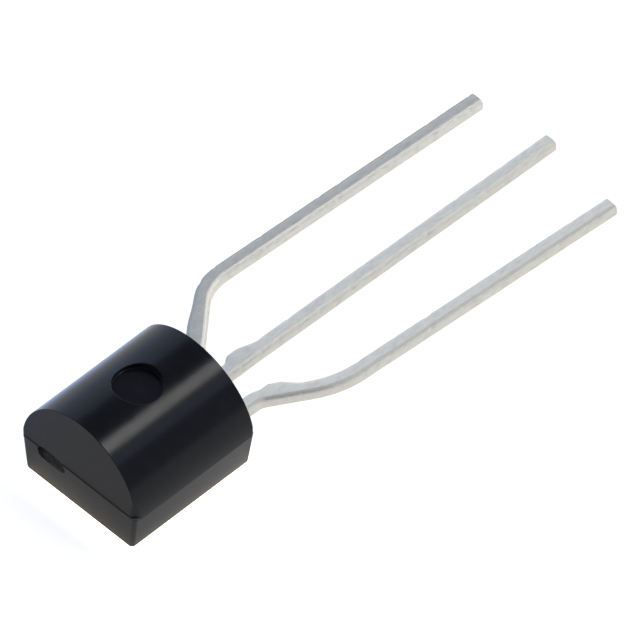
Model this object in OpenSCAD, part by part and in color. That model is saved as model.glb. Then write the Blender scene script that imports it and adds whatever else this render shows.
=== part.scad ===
// Three-lead voltage reference in a small D-shaped moulded package, leads formed for a wider hole row.
// Origin at the centre of the flat marking face, +Z up out of that face, +Y along the leads.
// It lies on its flat face and on the tips of its two outer leads. All sizes in millimetres.

/* [Moulded body] */
// Width of the flat half at the parting line
body_w = 4.6; // [4.4:0.05:5.2]
// Length from the end face to the face that the leads leave, at the parting line
body_len = 4.8; // [4.5:0.05:5.4]
// Height of the parting line above the flat face
parting_h = 1.33; // [1.1:0.01:1.6]
// How far the round half stands proud of the flat half along the sides of the parting line
parting_step = 0.04; // [0:0.01:0.06]
// How far the flat half stands proud of the round half at the end faces
end_step = 0.04; // [0:0.01:0.06]
// Draft angle of the flat half's long sides
side_draft = 6; // [2:0.5:9]
// Draft angle of the flat half's end faces
flat_end_draft = 2; // [1:0.5:6]
// Draft angle of the round half's end faces
round_end_draft = 2.5; // [1:0.5:6]
// Radius of the round half's four upright corners
corner_r = 0.21; // [0.1:0.01:0.4]
// Radius along the edges of the flat face
edge_r = 0.08; // [0.03:0.01:0.2]

/* [Marks left by the mould] */
// Diameter of the ejector pin mark in the crown
ejector_d = 1.53; // [0.8:0.01:2]
// Depth of the ejector pin mark below the crown line
ejector_depth = 0.25; // [0.12:0.01:0.4]
// Distance of the gate scar from the middle of the end face
gate_x = 1.13; // [0:0.01:1.3]
// Length of the gate scar along the parting line
gate_w = 1.16; // [0.7:0.02:1.4]
// Height of the gate scar
gate_h = 0.48; // [0.3:0.02:0.6]
// How far the gate scar reaches above the parting line
gate_up = 0.16; // [0:0.02:0.26]
// Depth of the gate scar in the flat half's end face
gate_depth = 0.12; // [0.08:0.01:0.25]

/* [Lead strip] */
// Width of a lead
lead_w = 0.45; // [0.36:0.01:0.52]
// Thickness of the strip that all three leads are stamped from
lead_t = 0.38; // [0.3:0.01:0.5]
// Radius of the strip's upper edges, rolled over by the stamping die
roll_r = 0.14; // [0.04:0.01:0.16]
// Pitch of the leads where they leave the body
pitch = 1.27; // [1.2:0.01:1.35]
// Distance from the body to the middle of a dam bar stub's sheared face, along the strip
stub_at = 1.72; // [1.5:0.02:2.1]
// Length of a stub's sheared face
stub_len = 0.26; // [0.1:0.02:0.6]
// How far a stub stands out of the lead's side
stub_out = 0.17; // [0.02:0.01:0.24]
// Length over which the strip widens to a stub
stub_rise = 0.3; // [0.1:0.05:0.4]
// Length over which it narrows again
stub_fade = 0.7; // [0.1:0.05:0.9]
// Distance from the body to where the side leads start to slope down
set_at = 0.2; // [0:0.05:0.6]
// Radius of the bend where an outer lead turns outwards
kink_r = 0.8; // [0.4:0.05:0.8]

/* [Left lead] */
// Distance from the body to the outward bend
left_kink = 1.22; // [1:0.01:1.4]
// Angle that the lead turns outwards
left_splay = 41.2; // [28:0.2:48]
// Distance of the formed lead from the middle lead
left_row = 3.02; // [2.5:0.01:3.2]
// Radius of the bend back to parallel
left_return_r = 1.85; // [0.5:0.05:3]
// Angle that the long run still leans outwards
left_toe = -0.3; // [-1:0.1:2]
// Distance from the body to the tip
left_reach = 14.4; // [12.7:0.02:16]
// Height of the tip's underside above the surface that the part lies on
left_lift = 0; // [0:0.02:0.5]

/* [Middle lead] */
// Distance from the body to where the middle lead starts to slope down
middle_set_at = 2.2; // [0:0.05:4]
// Distance from the body to the tip
middle_reach = 14.52; // [12.7:0.02:16]
// Height of the tip's underside above the surface that the part lies on
middle_lift = 0.48; // [0:0.02:0.6]

/* [Right lead] */
// Distance from the body to the outward bend
right_kink = 1.19; // [1:0.01:1.5]
// Angle that the lead turns outwards
right_splay = 29; // [26:0.1:40]
// Distance of the formed lead from the middle lead, at the bend back
right_row = 2.44; // [2.3:0.01:3]
// Radius of the bend back to parallel
right_return_r = 3.5; // [0.5:0.05:4]
// Angle that the long run still leans outwards
right_toe = 1.4; // [-1:0.1:2]
// Distance from the body to the tip
right_reach = 14.3; // [12.7:0.02:16]
// Height of the tip's underside above the surface that the part lies on
right_lift = 0; // [0:0.02:0.5]

/* [Inside the body] */
// Depth of the side leads' bonding posts, from the exit face to their far edge
post_in = 1.6; // [1.4:0.05:1.7]
// Length of a bonding post
post_len = 0.85; // [0.6:0.05:1]
// Width of a bonding post
post_w = 0.86; // [0.6:0.02:0.95]
// Gap between the bonding posts and the die paddle
paddle_gap = 0.4; // [0.25:0.05:0.5]
// Width of the die paddle
paddle_w = 2.3; // [1.8:0.05:2.8]
// Length of the die paddle
paddle_len = 1.75; // [1.65:0.05:1.9]
// Length over which an inner pad narrows to the lead
shoulder = 0.06; // [0.02:0.01:0.12]
// Width of the notches that lock each lead in the moulding
lock_w = 0.16; // [0.08:0.01:0.2]
// Distance of the lock notches from the exit face
lock_in = 0.4; // [0.3:0.02:0.5]
// Size of the silicon die along the width of the body
die_w = 1.1; // [0.8:0.05:1.3]
// Size of the silicon die along the leads
die_len = 1; // [0.8:0.05:1]
// Thickness of the silicon die
die_t = 0.25; // [0.15:0.01:0.35]
// Thickness of the layer that the die is glued down with
attach_t = 0.03; // [0.02:0.005:0.06]
// How far the glue shows around the die
attach_edge = 0.05; // [0.02:0.01:0.08]
// Diameter of the bond wires
wire_d = 0.05; // [0.025:0.005:0.06]
// Rise of the two long wires above the line between their ends
wire_rise = 0.45; // [0.3:0.05:0.7]
// Rise of the short wire down to the paddle
down_wire_rise = 0.16; // [0.12:0.02:0.2]
// Diameter of the ball at the die end of a wire
ball_d = 0.12; // [0.1:0.01:0.15]
// Height of the ball
ball_h = 0.03; // [0.02:0.005:0.05]

/* [Hidden] */
$fn = 64;

arc_steps = 5;                            // flats along a small edge radius
bend_steps = 8;                           // flats along a bend of the strip
roll_steps = 4;                           // flats around a rolled edge
flat_min = 0.01;                          // least flat left between the rolled edges, at the lock notches
over = 1;                                 // how far a cutting shape runs past what it cuts
exit_y = body_len / 2;                    // plane of the face that the leads leave
round_r = body_w / 2 + parting_step;      // round half, centred on the parting line
crown_h = parting_h + round_r;            // top of the round half
round_len = body_len - 2 * end_step;      // round half's length at the parting line
corner_out = 0.03;                        // the corner arcs cross the sides instead of touching them
tongue = 0.3;                             // height and inset of the flat half's tongue in the round half
strip_z = parting_h - lead_t;             // underside of the flat lead strip, its top is the parting line

post_y = exit_y - post_in + post_len / 2;            // middle of the bonding posts
paddle_front = exit_y - post_in - paddle_gap;        // paddle's edge towards the leads
paddle_back = paddle_front - paddle_len;
die_y = paddle_front - paddle_len / 2;               // middle of the die and of the paddle
die_z = parting_h + attach_t;                        // underside of the die
pad_in = 0.12;                                       // bond pads' distance from the die's front edge
pad_y = die_y + die_len / 2 - pad_in;
pad_x = die_w / 2 - 0.2;                             // outer bond pads' distance from the middle
stitch = [0.1, 0.07, 0.02];                          // flattened end of a wire, along it, across it and up
down_y = (paddle_front + die_y + die_len / 2 + attach_edge) / 2;   // short wire's end, on bare paddle

// Outline of the flat half seen along or across the leads: drafted sides, rounded lower corners, and
// a tongue above the parting line that makes it one moulding with the round half
function flat_outline(half, draft) =
    let (foot = half - parting_h * tan(draft),
         centre = foot - edge_r * (1 - sin(draft)) / cos(draft),
         side = concat([[half - tongue, parting_h + tongue], [half - tongue, parting_h], [half, parting_h]],
                       [for (i = [0:arc_steps])
                           let (t = -draft - (90 - draft) * i / arc_steps)
                           [centre + edge_r * cos(t), edge_r + edge_r * sin(t)]]))
    concat(side, [for (i = [len(side) - 1:-1:0]) [-side[i].x, side[i].y]]);

// Section of the strip, [across, up] from the middle of its underside: square below, rolled above.
// Its width to each side of the middle is given as [left, right].
function strip_section(halves) =
    let (r = min(roll_r, min(halves) - flat_min / 2),
         roll = [for (i = [0:roll_steps])
                    let (t = 90 * i / roll_steps)
                    [r * (1 - cos(t)), lead_t - r * (1 - sin(t))]])
    concat([[halves[1], 0]], [for (q = roll) [halves[1] - q.x, q.y]],
           [for (i = [roll_steps:-1:0]) [roll[i].x - halves[0], roll[i].y]], [[-halves[0], 0]]);

// The stamped strip's outline, as [distance from the body, width to the left and to the right of its
// middle], from an inner pad past the lock notches and the dam bar stub to the tip. The bars were
// sheared flush with each lead's right side, and stub_left says on which side that leaves the stub.
function blank(pad_from, pad_len, pad_w, length, stub_left = true) =
    let (w = lead_w / 2, pad = pad_w / 2, notch = w - lock_w / 2,
         face = [stub_at - stub_len / 2, stub_at + stub_len / 2],
         stub = stub_left ? [w + stub_out, w] : [w, w + stub_out])
    [[pad_from, pad, pad], [pad_from + pad_len, pad, pad], [pad_from + pad_len + shoulder, w, w],
     [-lock_in - lock_w / 2, w, w], [-lock_in, notch, notch], [-lock_in + lock_w / 2, w, w],
     [face[0] - stub_rise, w, w], [face[0], stub[0], stub[1]], [face[1], stub[0], stub[1]],
     [face[1] + stub_fade, w, w], [length, w, w]];

// What the outline is at s, between its stops a and b
function between(s, a, b) = a + (b - a) * (s - a[0]) / (b[0] - a[0]);

function arc_len(r, angle) = r * abs(angle) * PI / 180;
function step(p, heading, length) = p + length * [cos(heading), sin(heading)];

// Where the middle of the strip is, s past p, after bends of [distance, angle, radius]: [point, heading]
function formed(s, bends, p, heading, i = 0) =
    i == len(bends) || s <= bends[i][0] ? [step(p, heading, s), heading] :
    let (at = bends[i][0], angle = bends[i][1], r = bends[i][2], long = arc_len(r, angle),
         turned = angle * min(1, (s - at) / long), to_centre = heading + sign(angle) * 90,
         q = step(step(step(p, heading, at), to_centre, r), to_centre + turned, -r))
    s <= at + long ? [q, heading + turned] :
    let (rest = [for (b = bends) [b[0] - at - long, b[1], b[2]]])
    formed(s - at - long, rest, q, heading + angle, i + 1);

// The stamped strip, bent in its plane where it leaves the body at x, and set down to its tip
module lead(x, outline, bends, slope_at, reach, lift) {
    fall = (strip_z - lift) / (reach - slope_at);
    bend_stops = [for (b = bends, i = [0:bend_steps]) b[0] + arc_len(b[2], b[1]) * i / bend_steps];
    stops = [for (i = [0:len(outline) - 1]) each concat([outline[i]], i == len(outline) - 1 ? [] :
                [for (s = concat([slope_at], bend_stops)) if (s > outline[i][0] && s < outline[i + 1][0])
                    between(s, outline[i], outline[i + 1])])];
    rings = [for (stop = stops)
                let (place = formed(stop[0], bends, [x, exit_y], 90), h = place[1])
                [for (c = strip_section([stop[1], stop[2]]))
                    let (q = place[0] + c.x * [sin(h), -cos(h)],
                         down = fall * max(0, min(q.y - exit_y, reach) - slope_at))
                    [q.x, q.y, strip_z + c.y - down]]];
    n = len(rings[0]);
    sides = [for (i = [0:len(rings) - 2], j = [0:n - 1])
                [i * n + j, i * n + (j + 1) % n, (i + 1) * n + (j + 1) % n, (i + 1) * n + j]];
    first = [for (j = [n - 1:-1:0]) j];
    last = [for (j = [0:n - 1]) (len(rings) - 1) * n + j];
    color("#c6c8cf")
        polyhedron(points = [for (ring = rings) each ring], faces = concat([first], sides, [last]));
}

module along_leads(length) rotate([90, 0, 0]) linear_extrude(height = length, center = true) children();
module across_leads(length) rotate([90, 0, 90]) linear_extrude(height = length, center = true) children();

module flat_half() {
    intersection() {
        along_leads(body_len + over) polygon(flat_outline(body_w / 2, side_draft));
        across_leads(body_w + over) polygon(flat_outline(body_len / 2, flat_end_draft));
    }
}

module corner_plan() {
    x = round_r - corner_r;
    y = round_len / 2 - corner_r;
    r = corner_r + corner_out;
    square([2 * x, 2 * (y + r)], center = true);
    square([2 * (x + r), 2 * y], center = true);
    for (i = [-1, 1], j = [-1, 1]) translate([i * x, j * y]) circle(r = r);
}

module round_half() {
    top = round_len / 2 - round_r * tan(round_end_draft);
    intersection() {
        along_leads(round_len + over) translate([0, parting_h]) circle(r = round_r);
        across_leads(2 * round_r + over)
            polygon([[-round_len / 2, parting_h], [round_len / 2, parting_h],
                     [top, crown_h], [-top, crown_h]]);
        linear_extrude(height = crown_h + over) corner_plan();
    }
}

module ejector_mark() translate([0, 0, crown_h - ejector_depth]) cylinder(d = ejector_d, h = over);

// Where the runner broke off: a shallow round-ended hollow, most of it in the flat half
module gate_scar() {
    translate([-gate_x, gate_depth - body_len / 2, parting_h + gate_up - gate_h / 2]) rotate([90, 0, 0])
        linear_extrude(height = over)
            hull() for (side = [-1, 1]) translate([side * (gate_w - gate_h) / 2, 0]) circle(d = gate_h);
}

module moulded_body() {
    color("#26272b") difference() {
        union() {
            flat_half();
            round_half();
        }
        ejector_mark();
        gate_scar();
        lead_left();
        lead_middle();
        lead_right();
        die_attach();
        die();
        bond_wire_left();
        bond_wire_middle();
        bond_wire_right();
    }
}

// A side lead on the right: it turns outwards by splay at kink, and back where it has reached row
module side_lead(kink, splay, row, return_r, toe, reach, lift, stub_left) {
    run = (row - pitch) / sin(splay);
    cut_out = kink_r * tan(splay / 2);
    cut_back = return_r * tan((splay - toe) / 2);
    out_at = kink - cut_out;
    back_at = out_at + arc_len(kink_r, splay) + run - cut_out - cut_back;
    long_run = (reach - kink - run * cos(splay)) / cos(toe) - cut_back;
    length = back_at + arc_len(return_r, splay - toe) + long_run;
    lead(pitch, blank(-post_in, post_len, post_w, length, stub_left),
         [[out_at, -splay, kink_r], [back_at, splay - toe, return_r]], set_at, reach, lift);
}

module lead_left() mirror([1, 0, 0])
    side_lead(left_kink, left_splay, left_row, left_return_r, left_toe, left_reach, left_lift, false);

module lead_right()
    side_lead(right_kink, right_splay, right_row, right_return_r, right_toe, right_reach, right_lift, true);

// The middle lead carries the die on its paddle and stays straight
module lead_middle()
    lead(0, blank(paddle_back - exit_y, paddle_len, paddle_w, middle_reach), [],
         middle_set_at, middle_reach, middle_lift);

module die_attach() color("#b9b4a6") translate([0, die_y, parting_h + attach_t / 2])
    cube([die_w + 2 * attach_edge, die_len + 2 * attach_edge, attach_t], center = true);

module die() color("#6d7180") translate([0, die_y, die_z + die_t / 2])
    cube([die_w, die_len, die_t], center = true);

// A bond wire from a ball on the die at a to a stitch at b, on one arc that rises above their line
module bond_wire(a, b, rise) {
    span = norm([b.x - a.x, b.y - a.y]);
    chord = norm([span, b.z - a.z]);
    r = (chord * chord / 4 + rise * rise) / (2 * rise);
    half = asin(chord / 2 / r);
    sunk = wire_d / r * 180 / PI;         // the arc runs on into both pads and is cut flush with them
    heading = atan2(b.y - a.y, b.x - a.x);
    color("#d9b45b") difference() {
        union() {
            translate(a) rotate([90, 0, heading]) rotate(atan2(b.z - a.z, span))
                translate([chord / 2, rise - r, 0]) rotate(90 - half - sunk)
                    rotate_extrude(angle = 2 * (half + sunk)) translate([r, 0]) circle(d = wire_d);
            translate(a) cylinder(d = ball_d, h = ball_h);
            translate(b) rotate(heading) translate([-stitch.x / 2, -stitch.y / 2, 0]) cube(stitch);
        }
        for (end = [a, b]) translate([end.x, end.y, end.z - ball_d]) cube(2 * ball_d, center = true);
    }
}

module side_wire(side)
    bond_wire([side * pad_x, pad_y, die_z + die_t], [side * pitch, post_y, parting_h], wire_rise);

module bond_wire_left() side_wire(-1);
module bond_wire_right() side_wire(1);
module bond_wire_middle() bond_wire([0, pad_y, die_z + die_t], [0, down_y, parting_h], down_wire_rise);

moulded_body();
lead_left();
lead_middle();
lead_right();
die_attach();
die();
bond_wire_left();
bond_wire_middle();
bond_wire_right();
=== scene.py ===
import math
import random

import bmesh
import bpy
from mathutils import Matrix, Vector, noise


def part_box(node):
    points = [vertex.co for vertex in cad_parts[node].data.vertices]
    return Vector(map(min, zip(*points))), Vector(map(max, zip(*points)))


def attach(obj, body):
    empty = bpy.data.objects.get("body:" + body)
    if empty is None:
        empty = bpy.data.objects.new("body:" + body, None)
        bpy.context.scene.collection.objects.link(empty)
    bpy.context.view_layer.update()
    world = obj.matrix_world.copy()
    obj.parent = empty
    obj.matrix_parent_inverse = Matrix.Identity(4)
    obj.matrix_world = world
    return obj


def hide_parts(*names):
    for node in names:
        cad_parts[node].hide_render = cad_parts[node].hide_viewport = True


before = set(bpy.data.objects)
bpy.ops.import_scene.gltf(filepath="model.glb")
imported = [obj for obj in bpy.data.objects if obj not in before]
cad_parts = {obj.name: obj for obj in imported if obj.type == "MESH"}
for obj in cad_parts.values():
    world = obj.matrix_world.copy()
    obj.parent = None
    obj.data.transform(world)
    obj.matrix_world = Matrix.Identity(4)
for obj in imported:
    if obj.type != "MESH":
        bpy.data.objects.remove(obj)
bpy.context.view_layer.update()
mm = 0.001


# ---- The view -----------------------------------------------------------------------------------
# The part lies on its flat face with the leads pointing away. The camera looks down on the corner
# between the round half's end face and its right side, from so far off that parallel edges stay so.

view_azimuth = math.radians(45.25)
view_elevation = math.radians(48.97)
view_distance = 400 * mm
view_width = 18.557 * mm
aim = Vector((0.6567, 6.7234, 1.482)) * mm

towards_camera = Vector((math.sin(view_azimuth) * math.cos(view_elevation),
                         -math.cos(view_azimuth) * math.cos(view_elevation),
                         math.sin(view_elevation)))
lens = bpy.data.cameras.new("view")
lens.lens = lens.sensor_width * view_distance / view_width
lens.clip_start = 10 * mm
lens.clip_end = 4000 * mm
camera = bpy.data.objects.new("view", lens)
camera.location = aim + view_distance * towards_camera
camera.rotation_mode = "QUATERNION"
camera.rotation_quaternion = towards_camera.to_track_quat("Z", "Y")
bpy.context.scene.collection.objects.link(camera)
bpy.context.scene.camera = camera
bpy.context.scene.view_settings.view_transform = "Standard"


# ---- Table --------------------------------------------------------------------------------------
# A white light table: it glows, so that it shows no shadow and lights the part's sides from below.
# Its finish, like every other here, is worked out by shader nodes.

class Socket:
    """A shader node's output. Arithmetic on it adds the Math nodes that work the result out."""

    def __init__(self, output):
        self.output = output

    def node(self, kind, settings, inputs, result=0):
        """A node in the same material: its settings first, then its inputs' values or links."""
        made = self.output.id_data.nodes.new(kind)
        for name, value in settings.items():
            if name == "stops":
                ramp = made.color_ramp.elements
                while len(ramp) < len(value):
                    ramp.new(1)
                for element, (position, shade) in zip(ramp, value):
                    colour = shade if isinstance(shade, tuple) else (shade,) * 3
                    element.position, element.color = position, (*colour, 1)
            else:
                setattr(made, name, value)
        for name, value in inputs.items():
            socket = made.inputs[name]
            if isinstance(value, Socket):
                self.output.id_data.links.new(value.output, socket)
            else:
                socket.default_value = value
        return Socket(made.outputs[result])

    def math(self, operation, *values):
        return self.node("ShaderNodeMath", {"operation": operation}, dict(enumerate(values)))

    def __add__(self, other):
        return self.math("ADD", self, other)

    def __sub__(self, other):
        return self.math("SUBTRACT", self, other)

    def __mul__(self, other):
        return self.math("MULTIPLY", self, other)

    def __rsub__(self, other):
        return self.math("SUBTRACT", other, self)

    def __abs__(self):
        return self.math("ABSOLUTE", self)

    __radd__ = __add__
    __rmul__ = __mul__

    def larger(self, other):
        return self.math("MAXIMUM", self, other)

    def ramp(self, *stops):
        """The shade or colour that the (position, shade) stops give this value."""
        return self.node("ShaderNodeValToRGB", {"stops": stops}, {"Fac": self})

    def within(self, start, end):
        """From 0 at start to 1 at end, eased at both."""
        return self.node("ShaderNodeMapRange", {"interpolation_type": "SMOOTHSTEP"},
                         {"Value": self, "From Min": start, "From Max": end})

    def noise(self, scale, detail=3.0, stretch=(1, 1, 1)):
        """Noise of that scale at this place, drawn out where a stretch factor is below 1."""
        drawn = self.node("ShaderNodeVectorMath", {"operation": "MULTIPLY"}, {0: self, 1: stretch})
        return drawn.node("ShaderNodeTexNoise", {},
                          {"Vector": drawn, "Scale": scale, "Detail": detail})

    def mix(self, first, second):
        """From the first colour, where this is 0, to the second."""
        return self.node("ShaderNodeMix", {"data_type": "RGBA"}, {0: self, 6: first, 7: second}, 2)

    def part(self, axis):
        """One coordinate of this place or direction."""
        return self.node("ShaderNodeSeparateXYZ", {}, {0: self}, "XYZ".index(axis))

    def facing(self):
        """The direction in which the surface of the same material faces."""
        return self.node("ShaderNodeTexCoord", {}, {}, "Normal")

    def bump(self, distance):
        """The normal for this height, a whole unit of which is that many millimetres."""
        return self.node("ShaderNodeBump", {}, {"Distance": distance * mm, "Height": self})


def material(name, **constants):
    """A material, its shader with the constants set, and the place on the part in millimetres."""
    made = bpy.data.materials.new(name)
    made.use_nodes = True
    shader = made.node_tree.nodes["Principled BSDF"]
    for socket, value in constants.items():
        shader.inputs[socket.replace("_", " ")].default_value = value
    metres = Socket(made.node_tree.nodes.new("ShaderNodeTexCoord").outputs["Object"])
    place = metres.node("ShaderNodeVectorMath", {"operation": "SCALE"},
                        {0: metres, "Scale": 1 / mm})
    return made, shader, place


def drive(shader, **inputs):
    """Links what varies over the surface to the shader."""
    for name, value in inputs.items():
        shader.id_data.links.new(value.output, shader.inputs[name.replace("_", " ")])


def mesh_object(name, points, faces, *finishes):
    """An object with that mesh, given in millimetres, in the scene."""
    mesh = bpy.data.meshes.new(name)
    mesh.from_pydata(points, [], faces)
    for finish in finishes:
        mesh.materials.append(finish)
    made = bpy.data.objects.new(name, mesh)
    bpy.context.scene.collection.objects.link(made)
    return made


def to_scale(made, sharp):
    """Brings the mesh to its true size, shaded smooth but for edges over that many degrees."""
    made.data.transform(Matrix.Scale(mm, 4))
    made.data.shade_smooth()
    made.data.set_sharp_from_angle(angle=math.radians(sharp))


def table():
    """Its light is warm and strongest round the body's foot, and cool in a patch on the left."""
    half = 400
    foot_x, foot_y = 2.1, 2.3
    patch_right, patch_left = (-2.5, -4.5), (-14, -7)       # each from where it starts to where it
    patch_back, patch_front = (6, 3.5), (-12, -5)           # has its full strength
    finish, shader, place = material("light table", Roughness=0.9, Specular_IOR_Level=0.2,
                                     Emission_Strength=3.0)
    x, y = place.part("X"), place.part("Y")
    off_foot = (2 * (abs(x) - foot_x)).larger(abs(y) - foot_y)
    glow = off_foot.ramp((0, (1, 0.88, 0.74)), (0.12, (0.75, 0.68, 0.6)), (0.3, (0.45, 0.43, 0.41)),
                         (0.6, (0.33, 0.33, 0.325)), (1, (0.29, 0.29, 0.29)))
    patch = (x.within(*patch_right) * x.within(*patch_left)
             * y.within(*patch_back) * y.within(*patch_front))
    drive(shader, Base_Color=place.noise(0.04).ramp((0.3, 0.29), (0.7, 0.31)),
          Emission_Color=patch.mix(glow, (0.27, 0.325, 0.48, 1)))
    corners = [(-half, -half, 0), (half, -half, 0), (half, half, 0), (-half, half, 0)]
    made = mesh_object("table", corners, [(0, 1, 2, 3)], finish)
    to_scale(made, sharp=40)


table()


# ---- Studio light -------------------------------------------------------------------------------
# A soft strip lamp overhead with a weaker cool wing beside it, a broad cool panel on the left, and
# a wide one behind the leads, in a room that is dim overhead.

def panel(name, direction, distance, size, radiance, colour):
    """A panel that faces the part, its second side in the plane of the part's length, in metres."""
    light = bpy.data.lights.new(name, "AREA")
    light.shape = "RECTANGLE"
    light.size, light.size_y = size
    light.energy = radiance * math.pi * size[0] * size[1]
    light.color = colour
    made = bpy.data.objects.new(name, light)
    towards = Vector(direction).normalized()
    over = Vector((0, 1, 0)).cross(towards).normalized()
    made.matrix_world = Matrix.Translation(distance * towards) @ Matrix(
        (over, towards.cross(over), towards)).transposed().to_4x4()
    bpy.context.scene.collection.objects.link(made)


panel("strip", direction=(0.298, 0.4, 0.867), distance=0.25, size=(0.07, 0.052),
      radiance=13, colour=(1, 0.99, 0.98))
panel("strip_wing", direction=(0.59, 0.44, 0.68), distance=0.3, size=(0.075, 0.2),
      radiance=1.4, colour=(0.72, 0.86, 1.1))
panel("left_panel", direction=(-0.88, 0.25, 0.356), distance=0.5, size=(0.5, 0.6),
      radiance=1.0, colour=(0.58, 0.76, 1.12))
panel("back_panel", direction=(0.05, 0.95, 0.3), distance=0.5, size=(1.0, 0.25),
      radiance=2.2, colour=(1, 1, 0.98))

world = bpy.data.worlds.new("room")
world.use_nodes = True
direction = Socket(world.node_tree.nodes.new("ShaderNodeTexCoord").outputs["Generated"])
walls = direction.part("Z").ramp((0, (0.42, 0.44, 0.5)), (0.5, (0.4, 0.43, 0.5)),
                                 (0.8, (0.19, 0.21, 0.29)))
world.node_tree.links.new(walls.output, world.node_tree.nodes["Background"].inputs["Color"])
bpy.context.scene.world = world


# ---- Moulded body -------------------------------------------------------------------------------
# One moulding of black filled epoxy, pressed round the lead frame in a two-part mould. The drafted
# flat half lies below the parting line, a little off the round half above it, which has the ejector
# pin's mark in its crown. The runner broke off the end face and left a rough hollow.

body_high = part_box("moulded_body")[1] / mm
round_r = body_high.x
parting = body_high.z - round_r
split = parting + 0.09                             # where the mould halves really met
end_step = 0.018                                   # the flat half stands that far proud at the ends
round_end = body_high.y - end_step
round_end_draft = math.tan(math.radians(2.5))
near_corner_r, other_corner_r = 0.3, 0.08
worn_r = 0.015                                     # of the edge between the round side and the ends
ejector_r, ejector_depth = 0.765, 0.25


def end_reach(x, z, front):
    """How far from the middle the round half's end face stands, its upright corners included."""
    corner_r = near_corner_r if front and x > 0 else other_corner_r
    reach = round_end - (z - parting) * round_end_draft
    into_corner = abs(x) - (round_r - corner_r)
    if into_corner > 0:
        arc = math.sqrt(max(corner_r ** 2 - into_corner ** 2, 0))
        reach = min(reach, round_end - corner_r + arc)
    return reach


def crown(x):
    """How high the round side stands there."""
    return parting + math.sqrt(round_r ** 2 - x ** 2)


def spread(start, end, steps):
    """Evenly spaced values from start to end."""
    return [start + (end - start) * i / steps for i in range(steps + 1)]


def closed(work, name):
    """The mesh as an object, its faces turned outwards."""
    bmesh.ops.recalc_face_normals(work, faces=work.faces)
    made = mesh_object(name, [], [])
    work.to_mesh(made.data)
    work.free()
    return made


def open_edges(work):
    return [e for e in work.edges if len(e.link_faces) == 1]


def round_half():
    """A grid of facets over the end faces and the round side, with a window for the mark."""
    turns = 150                                    # facets round the half circle
    window = 20                                    # of these, in half the window's width
    window_y = round_r * math.sin(math.pi * window / turns)
    weld, overlap = 0.0005, 0.002
    radii = (spread(0, round_r - near_corner_r, 6)
             + spread(round_r - near_corner_r, round_r - worn_r, 20)[1:]
             + [round_r - worn_r * (1 - math.sin(turn)) for turn in spread(0, math.pi / 2, 6)[1:]])
    outer = [0.01, 0.04, 0.12, 0.35, 0.7]          # shares of the way from the end to the window
    inner = spread(-window_y, window_y, 2 * window)
    work = bmesh.new()

    def meridian(turn):
        """From the front end face's foot over the round side to the back end face's foot."""
        angle = math.pi * turn / turns

        def end(front):
            cap = []
            for r in radii:
                x, z = r * math.cos(angle), parting + r * math.sin(angle)
                over = max(0, r - (round_r - worn_r))
                y = end_reach(x, z, front) - worn_r + math.sqrt(max(0, worn_r ** 2 - over ** 2))
                cap.append((x, -y if front else y, z))
            edge = abs(cap[-1][1])
            return cap, [edge - (edge - window_y) * share for share in outer]

        (front, front_wall), (back, back_wall) = end(True), end(False)
        wall = [-y for y in front_wall] + inner + back_wall[::-1]
        x, z = round_r * math.cos(angle), parting + round_r * math.sin(angle)
        return front + [(x, y, z) for y in wall] + back[::-1]

    grid = [[work.verts.new(p) for p in meridian(turn)] for turn in range(turns + 1)]
    first = len(radii) + len(outer)                # the column where the window starts
    last = first + 2 * window
    low, high = turns // 2 - window, turns // 2 + window
    for i in range(turns):
        for j in range(len(grid[0]) - 1):
            if not (low <= i < high and first <= j < last):
                work.faces.new((grid[i][j], grid[i + 1][j], grid[i + 1][j + 1], grid[i][j + 1]))

    # From the square window in to the ejector pin's flat-bottomed mark
    rim = ([grid[i][first] for i in range(low, high)]
           + [grid[high][j] for j in range(first, last)]
           + [grid[i][last] for i in range(high, low, -1)]
           + [grid[low][j] for j in range(last, first, -1)])
    lip, foot = 0.02, 0.025
    floor = body_high.z - ejector_depth
    previous = rim

    def ring(place):
        nonlocal previous
        points = [work.verts.new(place(v.co)) for v in rim]
        for k in range(len(rim)):
            after = (k + 1) % len(rim)
            work.faces.new((previous[k], points[k], points[after], previous[after]))
        previous = points

    def on_crown(share):
        def place(co):
            flat = Vector((co.x, co.y)).normalized() * (ejector_r + lip)
            x, y = co.x + (flat.x - co.x) * share, co.y + (flat.y - co.y) * share
            return x, y, crown(x)
        return place

    def at_radius(r, drop):
        def place(co):
            flat = Vector((co.x, co.y)).normalized() * r
            return flat.x, flat.y, crown(flat.x) - drop
        return place

    def on_floor(r, rise):
        def place(co):
            flat = Vector((co.x, co.y)).normalized() * r
            return flat.x, flat.y, floor + rise
        return place

    for share in (0.3, 0.6, 0.85, 0.97, 1):
        ring(on_crown(share))
    for turn in spread(0, math.pi / 2, 5)[1:]:
        ring(at_radius(ejector_r + lip * (1 - math.sin(turn)), lip * (1 - math.cos(turn))))
    for turn in spread(0, math.pi / 2, 4):
        ring(on_floor(ejector_r - foot * (1 - math.cos(turn)), foot * (1 - math.sin(turn))))
    ring(on_floor(ejector_r * 0.9, 0))
    work.faces.new(previous)

    # A sliver below the parting line, so that this half overlaps the other
    bmesh.ops.remove_doubles(work, verts=work.verts, dist=weld)
    skirt = bmesh.ops.extrude_edge_only(work, edges=open_edges(work))["geom"]
    lower = [v for v in skirt if isinstance(v, bmesh.types.BMVert)]
    bmesh.ops.translate(work, verts=lower, vec=(0, 0, -overlap))
    bmesh.ops.triangle_fill(work, edges=open_edges(work), use_beauty=True)
    return closed(work, "body")


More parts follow.
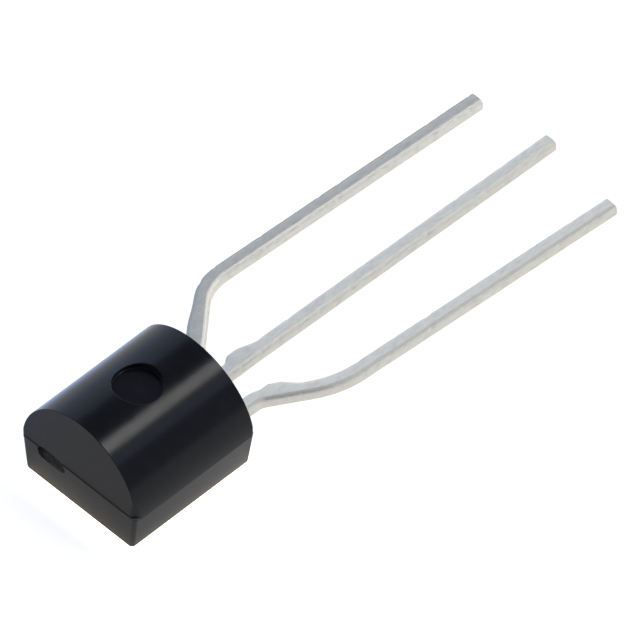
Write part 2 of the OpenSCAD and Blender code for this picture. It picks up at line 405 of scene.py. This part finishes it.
def flat_half():
    """From where the halves meet down to its rounded lower edges."""
    shift = -0.016                                 # the mould halves were that far out of line
    half_width, half_length = round_r + 0.011, body_high.y
    left_draft, right_draft, end_draft = [math.tan(math.radians(a)) for a in (3.6, 7.8, 2)]
    edge_r, rim_r, corner_r = 0.08, 0.012, 0.07
    rounder = (0, 0, 0.09, 0.06)                   # corners from back right over back left
    steps = 6
    work = bmesh.new()

    def outline(left, right, end, corner, z):
        points = []
        for quarter, more in enumerate(rounder):
            r = corner + more
            cx = shift + (right - r if quarter in (0, 3) else r - left)
            cy = (end - r) * (1 if quarter in (0, 1) else -1)
            for angle in spread(math.pi / 2 * quarter, math.pi / 2 * (quarter + 1), steps):
                points.append(work.verts.new((cx + r * math.cos(angle),
                                              cy + r * math.sin(angle), z)))
        return points

    # How far each ring lies below the top, and how far it lies in from the drafted sides
    levels = [(0, rim_r), (0.0035, 0.0035), (rim_r, 0), (0.03, 0), (0.1, 0),
              (split - edge_r - 0.05, 0)]
    levels += [(split - edge_r * (1 - math.sin(turn)), edge_r * (1 - math.cos(turn)))
               for turn in spread(0, math.pi / 2, steps)]
    rings = [outline(half_width - depth * left_draft - inset,
                     half_width - depth * right_draft - inset,
                     half_length - depth * end_draft - inset,
                     corner_r + 0.75 * inset, split - depth)
             for depth, inset in levels]
    for above, below in zip(rings, rings[1:]):
        for k in range(len(above)):
            after = (k + 1) % len(above)
            work.faces.new((above[k], below[k], below[after], above[after]))
    work.faces.new(rings[0])
    work.faces.new(rings[-1][::-1])
    return closed(work, "flat_half")


def gate_scar():
    """What broke out with the runner: a long, uneven hollow that is deeper at the top."""
    middle = Vector((-1.12, 0, parting - 0.05))
    half_width, half_height = 0.55, 0.23
    around = 96
    work = bmesh.new()

    def rim(turn):
        angle = 2 * math.pi * turn / around
        along, up = math.cos(angle), math.sin(angle)
        bulge = (along ** 4 + up ** 4) ** -0.25    # towards a rectangle
        taper = 1 - 0.42 * max(0, along) * max(0, up)       # cut off at its upper right
        uneven = 1 + 0.05 * noise.noise(Vector((3 * along, 3 * up, 0.4)))
        return Vector((half_width * along, 0, half_height * up)) * bulge * taper * uneven

    def floor(offset, share):
        up, left = offset.z / half_height, -offset.x / half_width
        chips = noise.fractal(offset * 9, 1.0, 2.0, 4)
        depth = 0.095 + 0.08 * up + 0.02 * left + 0.03 * chips
        least, wall, brim = 0.02, 0.06, 0.45       # the depth at the rim rises over its last share
        return -body_high.y + max(least, depth) * min(1, (1 - share) / wall + brim)

    rings = []
    for share in spread(0.08, 0.8, 10) + [0.86, 0.91, 0.95, 0.98, 1.0]:
        offsets = [rim(turn) * share for turn in range(around)]
        rings.append([work.verts.new(middle + offset + Vector((0, floor(offset, share), 0)))
                      for offset in offsets])
    for share, y in ((1.02, -0.05), (1.1, -0.2)):
        rings.append([work.verts.new(middle + rim(turn) * share + Vector((0, y - body_high.y, 0)))
                      for turn in range(around)])
    for within, beyond in zip(rings, rings[1:]):
        for k in range(around):
            after = (k + 1) % around
            work.faces.new((within[k], within[after], beyond[after], beyond[k]))
    work.faces.new(rings[0])
    work.faces.new(rings[-1][::-1])
    return closed(work, "gate_scar")


def join(made, other, operation):
    """The first object's mesh becomes the union or difference with the other, which goes."""
    change = made.modifiers.new(operation, "BOOLEAN")
    change.operation, change.object, change.solver = operation, other, "EXACT"
    change.material_mode = "TRANSFER"
    worked = made.evaluated_get(bpy.context.evaluated_depsgraph_get())
    result = bpy.data.meshes.new_from_object(worked)
    made.modifiers.clear()
    made.data = result
    bpy.data.objects.remove(other)


def epoxy():
    """Black and satin, rougher low down and at the ends, with painted light paling the ledge."""
    finish, shader, place = material("moulded epoxy", IOR=1.5, Specular_IOR_Level=0.145)
    facing = place.facing()
    at_end = abs(facing.part("Y")).within(0.6, 0.95)
    low = place.part("Z").within(parting + 1.2, parting)
    # Painted light: the upward ledge is tinted pale to lighten the dark line its reflection shows.
    ledge_painted_light = facing.part("Z").within(0.5, 0.8) * place.part("Z").within(split + 0.03, split + 0.01)
    cloud = place.noise(2.5)
    grain = place.noise(16, 5.0)
    polished = cloud.ramp((0.3, (0.0052, 0.0055, 0.0072)), (0.7, (0.0068, 0.0072, 0.0092)))
    eroded = grain.ramp((0.3, (0.008, 0.0078, 0.008)), (0.7, (0.012, 0.0117, 0.012)))
    tint = ledge_painted_light.mix(at_end.mix(polished, eroded), (0.08, 0.08, 0.083, 1))
    rough = 0.19 + 0.05 * cloud + 0.28 * at_end + 0.14 * low * (1 - at_end) + 0.4 * ledge_painted_light
    drive(shader, Base_Color=tint, Roughness=rough, Normal=(grain * (1 + 3 * at_end)).bump(0.0009))
    return finish


def fracture():
    """Where the moulding broke: pale torn filler low in the middle, painted shade round that."""
    finish, shader, place = material("broken epoxy", IOR=1.5, Specular_IOR_Level=0.15)
    middle_x = -1.05
    filler = place.noise(24, 5.0)
    torn = filler.ramp((0.35, (0.015, 0.014, 0.013)), (0.6, (0.028, 0.026, 0.025)),
                       (0.8, (0.045, 0.042, 0.039)))
    # Painted shade: the hollow's upper part and its ends get a dark colour, the torn filler stays
    # paler.
    high = (place.part("Z") + 0.25 * filler).within(split, split + 0.14)
    shaded_ends = abs(place.part("X") - middle_x).within(0.34, 0.5)
    drive(shader, Base_Color=high.larger(shaded_ends).mix(torn, (0.012, 0.012, 0.0125, 1)),
          Roughness=0.6 + 0.3 * filler, Normal=filler.bump(0.015))
    return finish


body = round_half()
body.data.materials.append(epoxy())
lower_half = flat_half()
lower_half.data.materials.append(body.data.materials[0])
join(body, lower_half, "UNION")
scar = gate_scar()
scar.data.materials.append(fracture())
join(body, scar, "DIFFERENCE")
to_scale(body, sharp=40)
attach(body, "root")
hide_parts("moulded_body")


# ---- Leads --------------------------------------------------------------------------------------
# Three leads of matt tinned copper alloy strip. A press stamps them with rolled upper edges, shears
# the bar that joined them, which leaves a stub on each lead's left side, and bends the outer two
# outwards and back to a wider row. They lie down to the table, the middle one a little above it.

lead_w, lead_t, roll_r, sheared_r = 0.45, 0.38, 0.14, 0.03
exit_y, strip_z = 2.4, 0.95                        # where the strip leaves the body, and how high
lock_in, lock_w = 0.4, 0.16                        # the notch that locks it, inside the body
pad_shoulder = 0.06                                # where the pad narrows to the strip
bar_from, bar_full = 1.27, 1.62                    # where the stub starts, and has its full width


def ahead(point, heading, length):
    """The point that lies so far off in that direction."""
    return point + length * Vector((math.cos(heading), math.sin(heading)))


def on_path(distance, bends, x):
    """Where the strip's middle is, and its heading, after bends of (distance, angle, radius)."""
    point, heading, passed = Vector((x, exit_y)), math.pi / 2, 0
    for start, angle, radius in bends:
        if distance <= start:
            break
        point = ahead(point, heading, start - passed)
        length = radius * abs(angle)
        turned = angle * min(1, (distance - start) / length)
        to_centre = heading + math.copysign(math.pi / 2, angle)
        point = ahead(ahead(point, to_centre, radius), to_centre + turned, -radius)
        heading += turned
        passed = start + length
    if distance > passed or passed == 0:
        point = ahead(point, heading, distance - passed)
    return point, heading


def eased(value, start, end):
    """From 0 at start to 1 at end, eased at both."""
    share = min(1, max(0, (value - start) / (end - start)))
    return share * share * (3 - 2 * share)


def widths(s, pad, stub, wider):
    """How wide the strip is left and right of its middle, s outside the body. A pad is (start,
    length, width), a bar's stub (width, full until, gone at), and wider is (left, right)."""
    start, length, pad_w = pad
    out, full_until, gone_at = stub
    half = lead_w / 2
    if s < start + length:
        half = pad_w / 2
    else:
        half += (pad_w / 2 - half) * eased(s, start + length + pad_shoulder, start + length)
    half -= lock_w / 2 * max(0, 1 - abs(s + lock_in) / (lock_w / 2))
    bar = out * eased(s, bar_from, bar_full) * eased(s, gone_at, full_until)
    return half + wider[0] + bar, half + wider[1]


def strip_section(left, right):
    """Points round the strip's section, (across, up): rolled above, sheared below."""
    roll = min(roll_r, 0.8 * min(left, right))
    corners = [(right - sheared_r, sheared_r, sheared_r, -90, 3),
               (right - roll, lead_t - roll, roll, 0, 8),
               (roll - left, lead_t - roll, roll, 90, 8),
               (sheared_r - left, sheared_r, sheared_r, 180, 3)]
    return [(cx + r * math.cos(math.radians(angle)), cz + r * math.sin(math.radians(angle)))
            for cx, cz, r, start, steps in corners for angle in spread(start, start + 90, steps)]


def tin(name, rough, top_shade, roll_shade):
    """Plated tin, clouded and streaked along the strip. The shares say how much painted shade
    darkens it on the top and the left, and on the roll along the right."""
    finish, shader, place = material(name, Metallic=1.0)
    sideways = place.facing().part("X")
    cloud = place.noise(3)
    streaks = place.noise(20, 4.0, (1, 0.2, 1))
    grain = place.noise(30, 3.0)
    clouded = 0.35 * cloud + 0.65 * streaks
    bright = clouded.ramp((0.3, (0.56, 0.54, 0.49)), (0.5, (0.67, 0.65, 0.585)),
                          (0.7, (0.72, 0.7, 0.63)))
    shaded_tone = clouded.ramp((0.3, (0.28, 0.27, 0.245)), (0.5, (0.335, 0.325, 0.2925)),
                        (0.7, (0.36, 0.35, 0.315)))
    # Painted shade: the top, the left side and the right roll are darkened by the way they face.
    top = 0.62 * sideways.within(0.2, 0.05) + 0.38 * sideways.within(-0.1, -0.5)
    roll = sideways.within(0.08, 0.25) * sideways.within(0.8, 0.6)
    drive(shader, Base_Color=(top_shade * top + roll_shade * roll).mix(bright, shaded_tone),
          Roughness=rough - 0.1 + 0.1 * cloud + 0.1 * streaks,
          Normal=(streaks + 0.6 * grain).bump(0.006))
    return finish


def bare_cut():
    """The sheared tip, where the copper alloy shows."""
    finish, shader, place = material("bare cut", Metallic=1.0)
    lines = place.noise(30, 3.0, (1, 1, 0.1))
    drive(shader, Base_Color=lines.ramp((0.3, (0.45, 0.3, 0.2)), (0.7, (0.62, 0.5, 0.4))),
          Roughness=0.35 + 0.2 * lines, Normal=lines.bump(0.006))
    return finish


cut = bare_cut()


def lead(name, finish, x, bends, pad, stub, wider, length, slope_at, reach, lift, seed):
    """The stamped strip from its inner pad to its tip, with the small dents that handling left."""
    chance = random.Random(seed)
    dents = [(chance.uniform(0.3, length), chance.choice((-1, 1)), chance.uniform(0.006, 0.02),
              chance.uniform(0.03, 0.09)) for _ in range(26)]
    fall = (strip_z - lift) / (reach - slope_at)
    station = 0.045                                # how far apart its sections are
    stations = spread(pad[0], length, round((length - pad[0]) / station))
    over, most_uneven = 0.014, 0.008               # what each side has beyond the strip's width
    points, faces = [], []
    for s in stations:
        (px, py), heading = on_path(s, bends, x)
        right = Vector((math.sin(heading), -math.cos(heading)))
        for across, up in strip_section(*widths(s, pad, stub, wider)):
            dented = sum(depth * math.exp(-((s - at) / size) ** 2)
                         for at, side, depth, size in dents
                         if side * across > 0 and up > lead_t - roll_r)
            wave = noise.noise(Vector((across * 3, up * 3, s * 0.9 + seed)))
            uneven = most_uneven / 2 * (1 + wave)
            give = 1 + (over - dented - uneven) / (lead_w / 2)
            qx, qy = px + right.x * across * give, py + right.y * across * give
            down = fall * max(0, min(qy - exit_y, reach) - slope_at)
            points.append((qx, qy, strip_z + up - down))
    n = len(points) // len(stations)
    for i in range(len(stations) - 1):
        for j in range(n):
            after = (j + 1) % n
            faces.append((i * n + j, i * n + after, (i + 1) * n + after, (i + 1) * n + j))
    faces.append(tuple(range(n))[::-1])
    faces.append(tuple((len(stations) - 1) * n + j for j in range(n)))
    made = mesh_object(name, points, faces, finish, cut)
    made.data.polygons[-1].material_index = 1      # the tip
    to_scale(made, sharp=50)
    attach(made, "root")
    return made


def side_lead(name, finish, side, kink, splay, row, return_r, toe, reach, stub, wider, seed):
    """An outer lead: it turns outwards by splay at kink, and back where it has reached its row."""
    pitch, kink_r = 1.27, 0.8
    post = (-1.6, 0.85, 0.86)                      # the bonding post inside the body
    splay, toe = math.radians(splay), math.radians(toe)
    run = (row - pitch) / math.sin(splay)
    cut_out, cut_back = kink_r * math.tan(splay / 2), return_r * math.tan((splay - toe) / 2)
    out_at = kink - cut_out
    back_at = out_at + kink_r * splay + run - cut_out - cut_back
    long_run = (reach - kink - run * math.cos(splay)) / math.cos(toe) - cut_back
    length = back_at + return_r * (splay - toe) + long_run
    bends = [(out_at, -side * splay, kink_r), (back_at, side * (splay - toe), return_r)]
    return lead(name, finish, side * pitch, bends, post, stub, wider, length, slope_at=0.2,
                reach=reach, lift=0, seed=seed)


left_lead = side_lead("left_lead", tin("satin tin", rough=0.5, top_shade=1, roll_shade=0.45),
                      side=-1, kink=1.22, splay=41.2, row=3.02, return_r=1.85, toe=-0.3,
                      reach=14.45, stub=(0.1, 1.9, 3.3), wider=(0.022, 0), seed=3)
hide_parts("lead_left")

paddle = (-1.35 - exit_y, 1.75, 2.3)               # the pad that the die lies on
middle_lead = lead("middle_lead", tin("matt tin", rough=0.6, top_shade=0, roll_shade=0.25),
                   x=0, bends=[], pad=paddle, stub=(0.17, 1.84, 2.6), wider=(0.008, 0),
                   length=14.52, slope_at=2.2, reach=14.52, lift=0.48, seed=5)
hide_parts("lead_middle")

# The right lead's tin has more painted shade on its right roll.
right_lead = side_lead("right_lead", tin("shade-painted tin", rough=0.6, top_shade=0, roll_shade=0.6),
                       side=1, kink=1.19, splay=29, row=2.44, return_r=3.5, toe=1.4,
                       reach=14.3, stub=(0.17, 1.84, 2.6), wider=(0, 0.022), seed=8)
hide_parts("lead_right")


# ---- Inside the body ----------------------------------------------------------------------------
# The silicon die lies on the middle lead's paddle, glued down with silver-filled resin. Drawn gold
# wires join it to the paddle and to the outer leads' posts. The moulding hides all of it.

def silicon():
    finish, shader, place = material("polished silicon", Metallic=0.7)
    film = place.noise(1.5)
    drive(shader, Base_Color=film.ramp((0.3, (0.12, 0.13, 0.17)), (0.7, (0.2, 0.2, 0.22))),
          Roughness=0.12 + 0.1 * place.noise(20))
    return finish


def silver_glue():
    finish, shader, place = material("silver-filled resin", Metallic=0.5)
    flakes = place.node("ShaderNodeTexVoronoi", {}, {"Vector": place, "Scale": 60.0})
    drive(shader, Base_Color=flakes.ramp((0.2, (0.66, 0.65, 0.62)), (0.7, (0.42, 0.4, 0.34))),
          Roughness=0.35 + 0.3 * flakes, Normal=flakes.bump(0.004))
    return finish


def gold():
    finish, shader, place = material("drawn gold", Metallic=1.0)
    drawn = place.noise(90, 3.0, (1, 0.1, 0.1))
    drive(shader, Base_Color=drawn.ramp((0.3, (0.83, 0.6, 0.24)), (0.7, (0.93, 0.7, 0.33))),
          Roughness=0.22 + 0.12 * drawn)
    return finish


bond_wire = gold()
inner = {"die": silicon(), "die_attach": silver_glue(), "bond_wire_left": bond_wire,
         "bond_wire_middle": bond_wire, "bond_wire_right": bond_wire}
for name, finish in inner.items():
    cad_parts[name].data.materials.clear()
    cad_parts[name].data.materials.append(finish)
